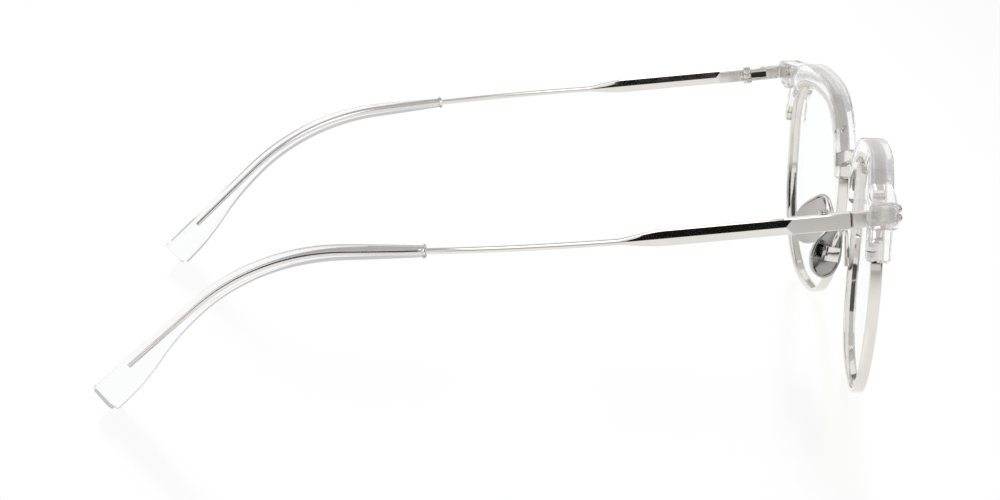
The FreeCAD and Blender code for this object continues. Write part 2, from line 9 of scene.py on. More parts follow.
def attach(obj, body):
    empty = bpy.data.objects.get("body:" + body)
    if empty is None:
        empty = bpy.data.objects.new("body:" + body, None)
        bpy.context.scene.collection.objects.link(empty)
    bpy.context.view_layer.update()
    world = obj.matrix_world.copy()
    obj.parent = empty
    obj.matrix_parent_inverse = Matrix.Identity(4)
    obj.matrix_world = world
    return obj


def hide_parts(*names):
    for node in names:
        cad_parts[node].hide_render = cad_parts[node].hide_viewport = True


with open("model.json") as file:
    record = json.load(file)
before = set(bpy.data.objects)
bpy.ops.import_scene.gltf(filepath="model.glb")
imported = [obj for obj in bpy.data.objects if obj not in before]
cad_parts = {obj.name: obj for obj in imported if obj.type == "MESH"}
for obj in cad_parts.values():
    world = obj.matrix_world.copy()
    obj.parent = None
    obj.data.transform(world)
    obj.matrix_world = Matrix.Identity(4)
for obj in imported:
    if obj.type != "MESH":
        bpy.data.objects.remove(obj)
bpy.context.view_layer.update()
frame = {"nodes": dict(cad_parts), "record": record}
print("stage: frame loaded")

# Sizes are in millimetres, as in the part's source, until a mesh is made
millimetre = 0.001
tableShift = Vector((0, -76.4214, 0.0156))
sides = {"left": 1, "right": -1}


# Nodes

def fill(node, inputs):
    # A socket takes a link or a plain value
    for key, value in inputs.items():
        if isinstance(value, Tie):
            node.id_data.links.new(value.socket, node.inputs[key])
        else:
            node.inputs[key].default_value = value


class Tie:
    # A node's socket that adds and multiplies like a number
    def __init__(self, tree, socket):
        self.tree = tree
        self.socket = socket

    def make(self, kind, output, inputs, **settings):
        node = self.tree.nodes.new(kind)
        for key, value in settings.items():
            setattr(node, key, value)
        fill(node, inputs)
        return Tie(self.tree, node.outputs[output] if node.outputs else None)

    def maths(self, operation, first, second):
        return self.make("ShaderNodeMath", 0, {0: first, 1: second}, operation=operation)

    def __add__(self, other):
        return self.maths("ADD", self, other)

    def __radd__(self, other):
        return self.maths("ADD", other, self)

    def __sub__(self, other):
        return self.maths("SUBTRACT", self, other)

    def __rsub__(self, other):
        return self.maths("SUBTRACT", other, self)

    def __mul__(self, other):
        return self.maths("MULTIPLY", self, other)

    def __rmul__(self, other):
        return self.maths("MULTIPLY", other, self)

    def __abs__(self):
        return self.maths("ABSOLUTE", self, 0.0)

    def ranged(self, low, high, fromLow=0.0, fromHigh=1.0):
        return self.make("ShaderNodeMapRange", 0, {0: self, 1: fromLow, 2: fromHigh, 3: low, 4: high})

    def tinted(self, dark, light):
        dark, light = [tone if isinstance(tone, Tie) else (*tone, 1) for tone in (dark, light)]
        return self.make("ShaderNodeMix", 2, {0: self, 6: dark, 7: light}, data_type="RGBA")

    def part(self, axis):
        return self.make("ShaderNodeSeparateXYZ", axis, {0: self})

    def blend(self, first, second):
        return self.make("ShaderNodeMixShader", 0, {0: self, 1: first, 2: second})

    def noise(self, scale, detail=3.0):
        return self.make("ShaderNodeTexNoise", 0, {0: self, 2: scale, 3: detail})

    def stretched(self, scale):
        return self.make("ShaderNodeMapping", 0, {0: self, 3: scale})

    def bumped(self, strength, distance):
        return self.make("ShaderNodeBump", 0, {0: strength, 1: distance, "Height": self})

    def path(self, question):
        return self.make("ShaderNodeLightPath", question, {})


# Materials

def newMaterial(name):
    material = bpy.data.materials.new(name)
    material.use_nodes = True
    tree = material.node_tree
    return material, tree.nodes["Principled BSDF"], Tie(tree, None).make("ShaderNodeTexCoord", "Object", {})


def shineOf(surface):
    return Tie(surface.id_data, surface.outputs[0])


def cover(material, result):
    fill(material.node_tree.nodes["Material Output"], {"Surface": result})


# Noise mostly stays within this range
noiseSpan = (0.3, 0.7)
polishTones = (0.74, 0.71, 0.67), (0.81, 0.78, 0.74)


def makeMetal(name, tones, roughness, grain, bump):
    material, surface, place = newMaterial(name)
    cloud = place.noise(260.0)
    hair = place.stretched(grain).noise(900.0, 4.0)
    fill(surface, {
        "Base Color": cloud.tinted(*tones), "Metallic": 1.0,
        "Roughness": (cloud * 0.5 + hair * 0.5).ranged(*roughness, *noiseSpan),
        "Normal": hair.bumped(bump, 0.00002),
    })
    return material


def makeBridgeMetal():
    # Polished in the middle, with dull solder over both ends
    material, surface, place = newMaterial("bridgeMetal")
    cloud = place.noise(260.0)
    lumps = place.noise(1400.0, 4.0)
    solder = abs(place.part(0)).ranged(0.0, 1.0, 0.0038, 0.0056)
    dull = lumps.tinted((0.28, 0.272, 0.24), (0.46, 0.45, 0.405))
    fill(surface, {
        "Base Color": solder.tinted(cloud.tinted(*polishTones), dull), "Metallic": 1.0,
        "Roughness": solder * 0.22 + cloud.ranged(0.06, 0.11, *noiseSpan),
        "Normal": (lumps * solder).bumped(0.25, 0.0001),
    })
    return material


def makeAcetate(name, paintedGlowTone, paintedGlowDepth):
    material, surface, place = newMaterial(name)
    cloud = place.noise(180.0)
    fill(surface, {
        "Base Color": cloud.tinted((0.965, 0.967, 0.972), (0.985, 0.986, 0.99)),
        "Roughness": place.noise(1500.0).ranged(0.004, 0.02, *noiseSpan),
        "Normal": cloud.bumped(0.03, 0.0001), "Transmission Weight": 1.0, "IOR": 1.49,
    })
    # Rays that bounce deep inside end in a painted glow in place of the light caught there, and shadows stay
    # light
    glow = place.make("ShaderNodeEmission", 0, {"Color": (*paintedGlowTone, 1)})
    clear = place.make("ShaderNodeBsdfTransparent", 0, {"Color": (0.97, 0.97, 0.97, 1)})
    caught = place.path("Ray Depth").ranged(0.0, 1.0, *paintedGlowDepth).blend(shineOf(surface), glow)
    cover(material, place.path("Is Shadow Ray").blend(caught, clear))
    return material


def makeLensGlass():
    # Thin coated lens: clear, with a weak mirror towards its edges
    material, surface, place = newMaterial("coatedLens")
    cloud = place.noise(60.0)
    facing = place.make("ShaderNodeLayerWeight", "Facing", {"Blend": 0.5})
    share = (facing * facing * facing).ranged(0.012, 0.11) + cloud * 0.004
    fill(surface, {
        "Base Color": cloud.tinted((0.93, 0.95, 0.945), (0.96, 0.975, 0.97)), "Metallic": 1.0,
        "Roughness": cloud.ranged(0.01, 0.03, *noiseSpan),
    })
    clear = place.make("ShaderNodeBsdfTransparent", 0, {"Color": (0.995, 0.998, 0.997, 1)})
    cover(material, share.blend(clear, shineOf(surface)))
    return material


materials = {
    "polished_metal": makeMetal("polishedMetal", polishTones, (0.04, 0.08), (1, 0.15, 1), 0.02),
    "satin_metal": makeMetal(
        "satinMetal", ((0.48, 0.462, 0.44), (0.555, 0.537, 0.515)), (0.12, 0.2), (1, 1, 0.2), 0.12),
    "screw_metal": makeMetal(
        "screwMetal", ((0.50, 0.48, 0.46), (0.62, 0.60, 0.58)), (0.12, 0.22), (1, 1, 1), 0.15),
    # The brow's pale glow is painted light inside the clear acetate
    "clear_acetate": makeAcetate("clearAcetate", (0.80, 0.80, 0.815), (3.0, 6.0)),
    "lens": makeLensGlass(),
}
# Finishes of single pieces that share a slot
# The tip's dim glow is painted shade: it darkens the edges where rays are caught inside
tipAcetate = makeAcetate("tipAcetate", (0.30, 0.30, 0.305), (2.0, 5.0))
bridgeMetal = makeBridgeMetal()
hingeMetal = makeMetal(
    "hingeMetal", ((0.66, 0.635, 0.6), (0.74, 0.71, 0.675)), (0.2, 0.28), (1, 1, 0.3), 0.04)
# Painted shade for the hollow of the pad's back
padInside = makeMetal(
    "padInside", ((0.31, 0.30, 0.29), (0.41, 0.40, 0.385)), (0.1, 0.18), (1, 1, 0.2), 0.1)
# Painted shade for the slot between the hinge's arms
slotShade = makeMetal(
    "slotShade", ((0.025, 0.023, 0.02), (0.06, 0.056, 0.05)), (0.35, 0.5), (1, 1, 1), 0.1)
print("stage: materials")


# Shape helpers

def rounded(corners, steps):
    # A closed outline from corners, each with its own radius
    points = []
    count = len(corners)
    for k in range(count):
        a, b, radius = corners[k]
        here = Vector((a, b))
        before = Vector(corners[k - 1][:2])
        after = Vector(corners[(k + 1) % count][:2])
        if radius <= 0:
            points.append(here)
            continue
        back = (before - here).normalized()
        ahead = (after - here).normalized()
        half = back.angle(ahead) / 2
        reach = radius / math.tan(half)
        middle = here + (back + ahead).normalized() * (radius / math.sin(half))
        start = here + back * reach - middle
        turn = math.pi - 2 * half
        sign = 1 if back.cross(ahead) < 0 else -1
        for j in range(steps + 1):
            points.append(middle + Matrix.Rotation(sign * turn * j / steps, 2) @ start)
    return points


def roundedBox(left, right, low, high, radius, steps):
    corners = [(right, low), (right, high), (left, high), (left, low)]
    return rounded([(*corner, radius) for corner in corners], steps)


def eased(table, at):
    # Smooth values between the rows of a table
    rows = [table[0]] + list(table) + [table[-1]]
    k = 1
    while k < len(rows) - 3 and at > rows[k + 1][0]:
        k += 1
    first, start, end, last = rows[k - 1:k + 3]
    run = end[0] - start[0]
    t = (at - start[0]) / run
    values = []
    for j in range(1, len(start)):
        before = (end[j] - first[j]) / (end[0] - first[0]) * run
        after = (last[j] - start[j]) / (last[0] - start[0]) * run
        values.append(
            (2 * t ** 3 - 3 * t ** 2 + 1) * start[j] + (t ** 3 - 2 * t ** 2 + t) * before
            + (3 * t ** 2 - 2 * t ** 3) * end[j] + (t ** 3 - t ** 2) * after)
    return values


def spread(start, end, count):
    return [start + (end - start) * k / (count - 1) for k in range(count)]


def turnsOf(count):
    return [2 * math.pi * k / count for k in range(count)]


def quarter(steps):
    return [math.pi / 2 * k / steps for k in range(steps + 1)]


def arc(radius, steps):
    # A rounded edge, as distances from the two faces that meet there
    return [(radius * (1 - math.cos(turn)), radius * (1 - math.sin(turn))) for turn in quarter(steps)]


def circle(radius, sides):
    return [(radius * math.cos(turn), radius * math.sin(turn)) for turn in turnsOf(sides)]


def between(a, b, size):
    # Faces from one ring of points to the next
    return [(a + j, a + (j + 1) % size, b + (j + 1) % size, b + j) for j in range(size)]


def skinned(rings, closed=False):
    # Faces between rings of equally many points, with caps on open ends
    size = len(rings[0])
    points = [point for ring in rings for point in ring]
    faces = []
    last = len(rings) if closed else len(rings) - 1
    for k in range(last):
        faces += between(k * size, (k + 1) % len(rings) * size, size)
    if not closed:
        faces.append(tuple(range(size)))
        faces.append(tuple(range((len(rings) - 1) * size, len(rings) * size)))
    return points, faces


def gathered(shapes):
    points = []
    faces = []
    for some, corners in shapes:
        faces += [tuple(k + len(points) for k in face) for face in corners]
        points += some
    return points, faces


# Mesh helpers

mergeReach = 1e-7


def placed(name, data):
    item = bpy.data.objects.new(name, data)
    bpy.context.scene.collection.objects.link(item)
    return item


def flipped(point, side):
    return Vector((point.x * side, point.y, point.z))


def toScene(point, side):
    return (flipped(point, side) + tableShift) * millimetre


def settle(piece, sharp=12):
    # Outward faces, smooth where the surface turns gently
    work = bmesh.new()
    work.from_mesh(piece.data)
    bmesh.ops.remove_doubles(work, verts=work.verts, dist=mergeReach)
    bmesh.ops.recalc_face_normals(work, faces=work.faces)
    if work.calc_volume(signed=True) < 0:
        bmesh.ops.reverse_faces(work, faces=work.faces)
    for face in work.faces:
        face.smooth = True
    for edge in work.edges:
        edge.smooth = edge.calc_face_angle(0) < math.radians(sharp)
    work.to_mesh(piece.data)
    work.free()


def meshFrom(name, shape, side):
    points, faces = shape
    mesh = bpy.data.meshes.new(name)
    mesh.from_pydata([toScene(point, side) for point in points], [], faces)
    piece = placed(name, mesh)
    settle(piece)
    return piece


def worked(item, modifier):
    # The mesh that the modifier gives, without the modifier
    graph = bpy.context.evaluated_depsgraph_get()
    mesh = bpy.data.meshes.new_from_object(item.evaluated_get(graph))
    item.modifiers.remove(modifier)
    return mesh


def reshape(piece, modifier):
    old = piece.data
    piece.data = worked(piece, modifier)
    bpy.data.meshes.remove(old)


def combined(piece, other, operation):
    modifier = piece.modifiers.new("join", "BOOLEAN")
    modifier.operation = operation
    modifier.object = other
    modifier.solver = "EXACT"
    reshape(piece, modifier)
    bpy.data.objects.remove(other)
    settle(piece)


def bevelled(piece, width, segments, angle, sharp):
    modifier = piece.modifiers.new("soften", "BEVEL")
    modifier.width = width * millimetre
    modifier.segments = segments
    modifier.limit_method = "ANGLE"
    modifier.angle_limit = math.radians(angle)
    reshape(piece, modifier)
    settle(piece, sharp)
    return piece


def softened(name, node, width):
    # A copy of a CAD node's shape with its sharp edges rounded
    piece = placed(name, frame["nodes"][node].data.copy())
    work = bmesh.new()
    work.from_mesh(piece.data)
    bmesh.ops.remove_doubles(work, verts=work.verts, dist=mergeReach)
    bmesh.ops.dissolve_limit(work, angle_limit=math.radians(1), verts=work.verts, edges=work.edges)
    work.to_mesh(piece.data)
    work.free()
    return bevelled(piece, width, segments=3, angle=40, sharp=20)


def finished(piece, body, slot, *nodes, material=None):
    piece.data.materials.clear()
    piece.data.materials.append(material or materials[slot])
    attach(piece, body)
    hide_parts(*nodes)


# Eye frame: x to the temple side, y to the rear, z up

eye = {
    "nasal": 23.7, "temporal": 23.7, "top": 19.8, "bottom": 24.95,
    "topTemporal": 3.06, "topNasal": 2.96, "bottomNasal": 2.41, "bottomTemporal": 2.18,
    "centre": Vector((33.7, 2.12, 25.34)), "wrap": 5.1, "lean": 1.8, "curve": 130.0,
}
eyeTurn = Matrix.Rotation(math.radians(eye["lean"]), 3, "X")
eyeTurn = eyeTurn @ Matrix.Rotation(math.radians(eye["wrap"]), 3, "Z")


def fromEye(point):
    return eyeTurn @ point + eye["centre"]


def eyeBase(angle):
    c = math.cos(angle)
    s = math.sin(angle)
    wide = eye["temporal"] if c >= 0 else eye["nasal"]
    tall = eye["top"] if s >= 0 else eye["bottom"]
    power = eye[("top" if s >= 0 else "bottom") + ("Temporal" if c >= 0 else "Nasal")]
    reach = (abs(c / wide) ** power + abs(s / tall) ** power) ** (-1 / power)
    return Vector((reach * c, 0, reach * s))


def eyeNormal(angle):
    small = 0.01
    along = eyeBase(angle + small) - eyeBase(angle - small)
    return Vector((along.z, 0, -along.x)).normalized()


def eyeReach(half, wide, height):
    # How far the outline lies from the middle at a height above or below it
    power = eye[half + wide.capitalize()]
    return eye[wide] * (1 - (height / eye[half]) ** power) ** (1 / power)


def eyeSag(point):
    return eye["curve"] - math.sqrt(eye["curve"] ** 2 - point.x ** 2 - point.z ** 2)


def curved(point, depth):
    # Moved to the lens curve, and along its radius by a depth
    sag = eyeSag(point)
    return fromEye(Vector((point.x, sag + depth * eye["curve"] / (eye["curve"] - sag), point.z)))


# Eyewires

rim = {
    "out": 0.45, "deep": 1.125, "floor": -0.26, "valley": 0.14, "valleyRound": 0.1, "seat": 0.77,
    "edge": 0.34, "lip": 0.17, "stations": 200,
}


def rimShape():
    out, deep, seat, lip = rim["out"], rim["deep"], rim["seat"], rim["lip"]
    section = rounded([
        (out, -deep, rim["edge"]), (out, deep, rim["edge"]), (-out, deep, lip), (-out, seat, lip),
        (rim["floor"], seat, 0), (rim["valley"], 0, rim["valleyRound"]), (rim["floor"], -seat, 0),
        (-out, -seat, lip), (-out, -deep, lip),
    ], 5)
    rings = []
    for angle in turnsOf(rim["stations"]):
        rings.append([curved(eyeBase(angle) + eyeNormal(angle) * a, b) for a, b in section])
    return skinned(rings, closed=True)


# Lenses

lens = {"offset": -0.12, "half": 0.75, "rings": 12, "stations": 144}


def lensShape():
    points = []
    faces = []
    count, rings = lens["stations"], lens["rings"]
    for depth in (-lens["half"], lens["half"]):
        start = len(points)
        for j in range(rings):
            for angle in turnsOf(count):
                flat = eyeBase(angle) + eyeNormal(angle) * lens["offset"]
                points.append(curved(flat * (1 - j / rings), depth))
        points.append(fromEye(Vector((0, depth, 0))))
        for j in range(rings - 1):
            faces += between(start + j * count, start + (j + 1) * count, count)
        a = start + (rings - 1) * count
        faces += [(a + k, a + (k + 1) % count, len(points) - 1) for k in range(count)]
    return points, faces + between(0, rings * count + 1, count)


# Brow pieces: a band with a groove for the eyewire, joined to an end block

brow = {
    "shape": [
        (16.5, 2.0), (18, 2.6), (22, 3.0), (27, 3.5), (35, 4.1), (45, 4.3), (60, 4.1), (75, 3.8),
        (90, 3.6), (105, 3.4), (120, 3.2), (135, 2.9), (148, 2.5), (158, 2.1), (164, 1.7), (166.5, 1.1),
    ],
    "front": 2.375, "rear": 2.075, "inner": -0.6, "round": 0.6, "innerRound": 0.3, "endRound": 0.5,
    "stations": 110, "grooveOut": 0.43, "grooveDeep": 1.1,
    "block": [
        (50.0, 3.4, 6.8, 43.6, 46.2), (55.0, 3.6, 8.0, 41.0, 46.5), (59.5, 3.8, 9.2, 40.1, 46.0),
        (63.0, 4.1, 9.5, 40.8, 45.6), (65.7, 4.4, 9.6, 41.0, 45.3),
    ],
    "blockEnd": 66.5, "blockRound": 0.75, "blockStations": 20,
}


def browBand():
    first = brow["shape"][0][0]
    last = brow["shape"][-1][0]
    out, deep, soft = brow["grooveOut"], brow["grooveDeep"], brow["innerRound"]
    rings = []
    for angle in spread(first, last, brow["stations"]):
        turn = math.radians(angle)
        base = eyeBase(turn)
        nearEnd = min(angle - first, last - angle) * math.radians(1) * base.length
        into = max(0, 1 - nearEnd / brow["endRound"])
        shrink = brow["endRound"] * (1 - math.sqrt(1 - into ** 2))
        height = eased(brow["shape"], angle)[0] - shrink
        front = shrink - brow["front"]
        rear = brow["rear"] - shrink
        inner = brow["inner"] + shrink / 2
        top = min(brow["round"], height / 3)
        section = rounded([
            (inner, front, soft), (height, front, top), (height, rear, top), (inner, rear, soft),
            (inner, deep, 0), (out, deep, 0), (out, -deep, 0), (inner, -deep, 0),
        ], 6)
        base.y = eyeSag(base)
        up = eyeNormal(turn)
        rings.append([fromEye(base + up * a + Vector((0, b, 0))) for a, b in section])
    return skinned(rings)


def browBlock():
    table = brow["block"]
    start, end = table[0][0], table[-1][0]
    bend = brow["blockEnd"] - end
    tips = [end + bend * math.sin(turn) for turn in quarter(6)[1:]]
    rings = []
    for x in spread(start, end, brow["blockStations"]) + tips:
        front, rear, low, high = eased(table, min(x, end))
        over = max(0, x - end) / bend
        shrink = bend * (1 - math.sqrt(max(0, 1 - over ** 2)))
        section = roundedBox(
            front + shrink, rear - shrink, low + shrink, high - shrink, brow["blockRound"], 7)
        rings.append([Vector((x, a, b)) for a, b in section])
    return skinned(rings)


lock = {
    "height": 9.3, "half": 1.65, "radius": 1.05, "out": 1.45, "back": 1.15, "gap": 0.1,
    "pocketLow": -1.0, "pocketRound": 0.4, "pocketRun": 20.0,
}
lockSide = eyeReach("top", "temporal", lock["height"])
lockBack = eyeSag(Vector((lockSide, 0, lock["height"]))) + lock["back"]


def lockPocket():
    # Room for the closing block in the brow's lower leg, open to the rear and below
    room = lock["radius"] + lock["gap"]
    outline = roundedBox(
        lockSide - lock["out"], lockSide + lock["out"] + room, lock["pocketLow"],
        lock["height"] + lock["half"] + lock["gap"], lock["pocketRound"], 4)
    ends = (lockBack - room, lockBack - room + lock["pocketRun"])
    return skinned([[fromEye(Vector((a, y, b))) for a, b in outline] for y in ends])


# Temples: a ridged bar that tapers into a round wire, with a clear tip over the wire

temple = {
    "hinge": Vector((63.05, 17.3, 42.06)), "fall": 5.83, "barInner": 1.12, "thick": 1.3, "half": 1.5,
    "ridge": 0.22, "edge": 0.18, "ridgeStart": 23.3, "ridgeRunOut": 1.2, "seam": 4.35, "barEnd": 46.8,
    "wireStart": 54.3, "wire": 0.6, "coreEnd": 0.44, "wireEnd": 146.0,
    "inwardStart": 58.0, "inwardRadius": 173.0, "inwardTurn": 12.6, "secondFall": 4.65, "secondStart": 55.0,
    "bendStart": 104.0, "bendRadius": 47.0, "drop": 43.5, "steps": 4, "heldFront": 0.2, "heldRear": 0.3,
    "taperPower": 1.25, "taperStations": 12, "wireStations": 80,
}
tip = {
    "table": [
        (89.2, 1.03, 1.03, 1.03), (92.0, 1.12, 1.12, 1.12), (98.0, 1.28, 1.28, 1.28),
        (107.0, 1.42, 1.45, 1.42), (117.0, 1.5, 1.55, 1.5), (125.0, 1.5, 1.65, 1.5),
        (131.0, 1.5, 1.75, 1.5), (136.0, 1.5, 2.05, 1.45), (140.0, 1.5, 2.75, 1.4),
        (144.0, 1.5, 3.9, 1.35), (148.0, 1.5, 4.7, 1.3), (156.0, 1.5, 5.0, 1.25),
    ],
    "round": 0.85, "mostRound": 0.97, "stations": 64, "lip": 0.2, "lipLength": 0.7, "lipStations": 9,
    "end": 152.3, "lowerCorner": 2.0, "upperCorner": 0.8, "endRound": 0.55,
    "upperStart": 0.1, "upperRoom": 0.35, "lowerStart": 3.2, "lowerRoom": 0.05,
    "cutSpan": 75.0, "cutSlope": 20.0, "cutHalf": 20.0,
}


def templeSpot(y):
    turn = math.radians(temple["inwardTurn"])
    radius = temple["inwardRadius"]
    past = y - temple["inwardStart"]
    run = min(max(past, 0), radius * math.sin(turn))
    x = temple["hinge"].x + temple["barInner"] + temple["thick"] / 2
    x -= radius - math.sqrt(radius ** 2 - run ** 2)
    x -= max(past - radius * math.sin(turn), 0) * math.tan(turn)
    first = math.tan(math.radians(temple["fall"]))
    second = math.radians(temple["secondFall"])
    drop = math.radians(temple["drop"])
    bend = temple["bendRadius"]
    z = temple["hinge"].z - first * (min(y, temple["secondStart"]) - temple["hinge"].y)
    z -= math.tan(second) * max(min(y, temple["bendStart"]) - temple["secondStart"], 0)
    reach = bend * (math.sin(drop) - math.sin(second))
    run = min(max(y - temple["bendStart"], 0), reach)
    z -= bend * math.cos(second) - math.sqrt(bend ** 2 - (bend * math.sin(second) + run) ** 2)
    z -= max(y - temple["bendStart"] - reach, 0) * math.tan(drop)
    return Vector((x, y, z))


def templeFrame(y):
    small = 0.4
    along = (templeSpot(y + small) - templeSpot(y - small)).normalized()
    side = along.cross(Vector((0, 0, 1))).normalized()
    return templeSpot(y), along, side, side.cross(along)


def barSection(ridge):
    # Clockwise from the middle of the inner face, each edge in equal steps
    outer, high, edge = temple["thick"] / 2, temple["half"], temple["edge"]
    shoulder = outer - ridge
    corner = [(-outer, 0), (-shoulder, high - edge), (edge - shoulder, high)]
    marks = corner + [(-a, b) for a, b in reversed(corner)]
    marks += [(-a, -b) for a, b in corner[1:]] + [(a, -b) for a, b in reversed(corner[1:])]
    marks = [Vector(mark) for mark in marks]
    steps = temple["steps"]
    section = []
    for mark, following in zip(marks, marks[1:] + marks[:1]):
        section += [mark.lerp(following, j / steps) for j in range(steps)]
    return section


def runOut(first, second, size):
    # Faces where the flat sides of the bar fall away from the ridge
    steps = temple["steps"]
    edges = size // steps
    half = edges // 2
    faces = []
    for k in range(edges):
        a = [first + (k * steps + j) % size for j in range(steps + 1)]
        b = [second + (k * steps + j) % size for j in range(steps + 1)]
        if k % half in (0, half - 1):
            near, far = (0, -1) if k % half == 0 else (-1, 0)
            faces += [(a[j], a[j + 1], b[near]) for j in range(steps)]
            faces += [(b[j], a[far], b[j + 1]) for j in range(steps)]
        else:
            faces += [(a[j], a[j + 1], b[j + 1], b[j]) for j in range(steps)]
    return faces


def templeShape():
    flat = barSection(0)
    ridged = barSection(temple["ridge"])
    size = len(flat)
    around = [Vector((-math.cos(turn), math.sin(turn))) for turn in turnsOf(size)]
    barEnd, wireStart, wireEnd, wire = [temple[key] for key in ("barEnd", "wireStart", "wireEnd", "wire")]
    ridgeEnd = temple["ridgeStart"] + temple["ridgeRunOut"]
    rows = [(temple["hinge"].y - temple["seam"], flat), (temple["ridgeStart"], flat), (ridgeEnd, ridged)]
    # Two held rings keep the long facets flat in the shading
    rows += [(ridgeEnd + temple["heldFront"], ridged), (barEnd - temple["heldRear"], ridged)]
    for y in spread(barEnd, wireStart, temple["taperStations"]):
        share = ((y - barEnd) / (wireStart - barEnd)) ** temple["taperPower"]
        rows.append((y, [p.lerp(q * wire, share) for p, q in zip(ridged, around)]))
    coreStart = tip["table"][0][0]
    for y in spread(wireStart, wireEnd, temple["wireStations"])[1:]:
        share = max(0, (y - coreStart) / (wireEnd - coreStart))
        rows.append((y, [q * (wire + (temple["coreEnd"] - wire) * share) for q in around]))
    rings = []
    for y, section in rows:
        spot, along, side, up = templeFrame(y)
        rings.append([spot + side * p.x + up * p.y for p in section])
    points, faces = skinned(rings)
    return points, faces[:size] + runOut(size, 2 * size, size) + faces[2 * size:]


def tipShape():
    # The front end flares into a small lip around the wire
    first, last = tip["table"][0][0], tip["table"][-1][0]
    lipEnd = first + tip["lipLength"]
    rings = []
    for y in spread(first, lipEnd, tip["lipStations"]) + spread(lipEnd, last, tip["stations"])[1:]:
        swell = tip["lip"] * math.sin(math.pi * min(1, (y - first) / tip["lipLength"]))
        above, below, half = [size + swell for size in eased(tip["table"], y)]
        spot, along, side, up = templeFrame(y)
        section = roundedBox(-half, half, -below, above, min(tip["round"], half * tip["mostRound"]), 7)
        rings.append([spot + side * a + up * b for a, b in section])
    return skinned(rings)


def tipEnd():
    # Side view of the tip's end, drawn through the whole thickness
    spot, along, side, up = templeFrame(tip["end"])
    above, below, half = eased(tip["table"], tip["end"])
    span = tip["cutSpan"]
    rise = span * math.tan(math.radians(tip["cutSlope"]))
    top = above + tip["upperRoom"]
    outline = rounded([
        (0, -below, tip["lowerCorner"]), (0, above, tip["upperCorner"]),
        (-tip["upperStart"], top, 0), (-span, top + rise, 0),
        (-span, -below - rise, 0), (-tip["lowerStart"], -below - tip["lowerRoom"], 0),
    ], 10)
    ends = (-tip["cutHalf"], tip["cutHalf"])
    return skinned([[spot + along * a + up * b + side * c for a, b in outline] for c in ends])


# End piece: a tongue with a rounded rear edge that bends inwards into the brow

endPiece = {
    "thick": 1.3, "half": 1.4, "bend": 6.7, "reach": 12.4, "inset": 1.9, "seam": 4.47, "round": 1.05,
    "edge": 0.2, "edgeShare": 0.45, "ease": 0.9, "easeGap": 0.1, "rivetAhead": 13.3, "rivetRise": 0.85,
}
hingeTurn = Matrix.Rotation(math.radians(-temple["fall"]), 3, "X")


def hingeSpot(x, y, z):
    return hingeTurn @ Vector((x, y, z)) + temple["hinge"]


def endPieceShape():
    inner = temple["barInner"]
    bend, ease, half = endPiece["bend"], endPiece["ease"], endPiece["half"]
    skew = endPiece["inset"] / (endPiece["reach"] - bend)
    rows = [(endPiece["seam"] + ahead, cut) for ahead, cut in arc(endPiece["round"], 8)]
    rows += [(ahead, 0) for ahead in spread(bend - ease, bend + ease, 10)]
    rows += [(ahead, 0) for ahead in spread(bend + ease + endPiece["easeGap"], endPiece["reach"], 6)]
    rings = []
    for ahead, cut in rows:
        past = ahead - bend
        shift = skew * (past if past > ease else max(0, past + ease) ** 2 / (4 * ease))
        outer = inner + endPiece["thick"] - cut
        edge = min(endPiece["edge"], (outer - inner) * endPiece["edgeShare"])
        section = roundedBox(inner - shift, outer - shift, -half, half, edge, 4)
        rings.append([hingeSpot(a, -ahead, b) for a, b in section])
    return skinned(rings)


# Hinge leaves: plates and arms with soft edges, and barrels round the hinge's axis

hinge = {
    "radius": 1.0, "half": 1.65, "middle": 0.57, "slot": 0.62, "plate": 1.35, "sides": 44,
    "soft": 0.22, "armSoft": 0.12, "leastSoft": 0.02,
    "frontPlate": ((0.1, -7.17), (1.12, -4.47)), "frontArm": ((0.1, -4.7), (1.0, -0.3)),
    "templePlate": ((0.37, 1.3), (1.12, 6.4)), "templeArm": ((0.37, 0.3), (1.12, 1.6)),
    "slotGround": (0.82, 0.99), "slotRound": 0.05,
    "slotRows": [(1.15, 0.04), (1.2, 0.0), (4.4, 0.0), (4.45, 0.04)],
}


def slotFloor():
    # A dark plate on the slot's ground between the hinge's arms, as painted shade
    low, high = hinge["slotGround"]
    half = hinge["slot"]
    rings = []
    for ahead, inset in hinge["slotRows"]:
        section = roundedBox(low + inset, high, inset - half, half - inset, hinge["slotRound"], 3)
        rings.append([hingeSpot(a, -ahead, b) for a, b in section])
    return skinned(rings)


def softBlock(corners, low, high, soft):
    (left, rear), (right, front) = corners
    edges = arc(soft, 4)
    rows = [(rear + place, inset) for place, inset in edges]
    rows += [(front - place, inset) for place, inset in reversed(edges)]
    rings = []
    for y, inset in rows:
        radius = max(soft - inset, hinge["leastSoft"])
        section = roundedBox(left + inset, right - inset, low + inset, high - inset, radius, 4)
        rings.append([hingeSpot(a, y, b) for a, b in section])
    return skinned(rings)


def barrel(low, high):
    rows = [(low + rise, hinge["radius"] - cut) for rise, cut in arc(hinge["soft"], 4)]
    rows += [(low + high - z, r) for z, r in reversed(rows)]
    return skinned([[hingeSpot(x, y, z) for x, y in circle(r, hinge["sides"])] for z, r in rows])


def frontLeaf():
    plate, slot, half, soft = hinge["plate"], hinge["slot"], hinge["half"], hinge["armSoft"]
    return gathered([
        softBlock(hinge["frontPlate"], -plate, plate, hinge["soft"]),
        barrel(slot, half), barrel(-half, -slot),
        softBlock(hinge["frontArm"], slot, plate, soft), softBlock(hinge["frontArm"], -plate, -slot, soft),
    ])


def templeLeaf():
    plate, middle = hinge["plate"], hinge["middle"]
    return gathered([
        softBlock(hinge["templePlate"], -plate, plate, hinge["soft"]), barrel(-middle, middle),
        softBlock(hinge["templeArm"], -middle, middle, hinge["armSoft"]),
    ])


# Small metal pieces that keep their CAD shape, with rounded edges
softNodes = {
    "rim_lock_upper_": ("lockUpper_", 0.14), "rim_lock_lower_": ("lockLower_", 0.14),
    "pad_box_": ("padBox_", 0.2),
}


# Bridge

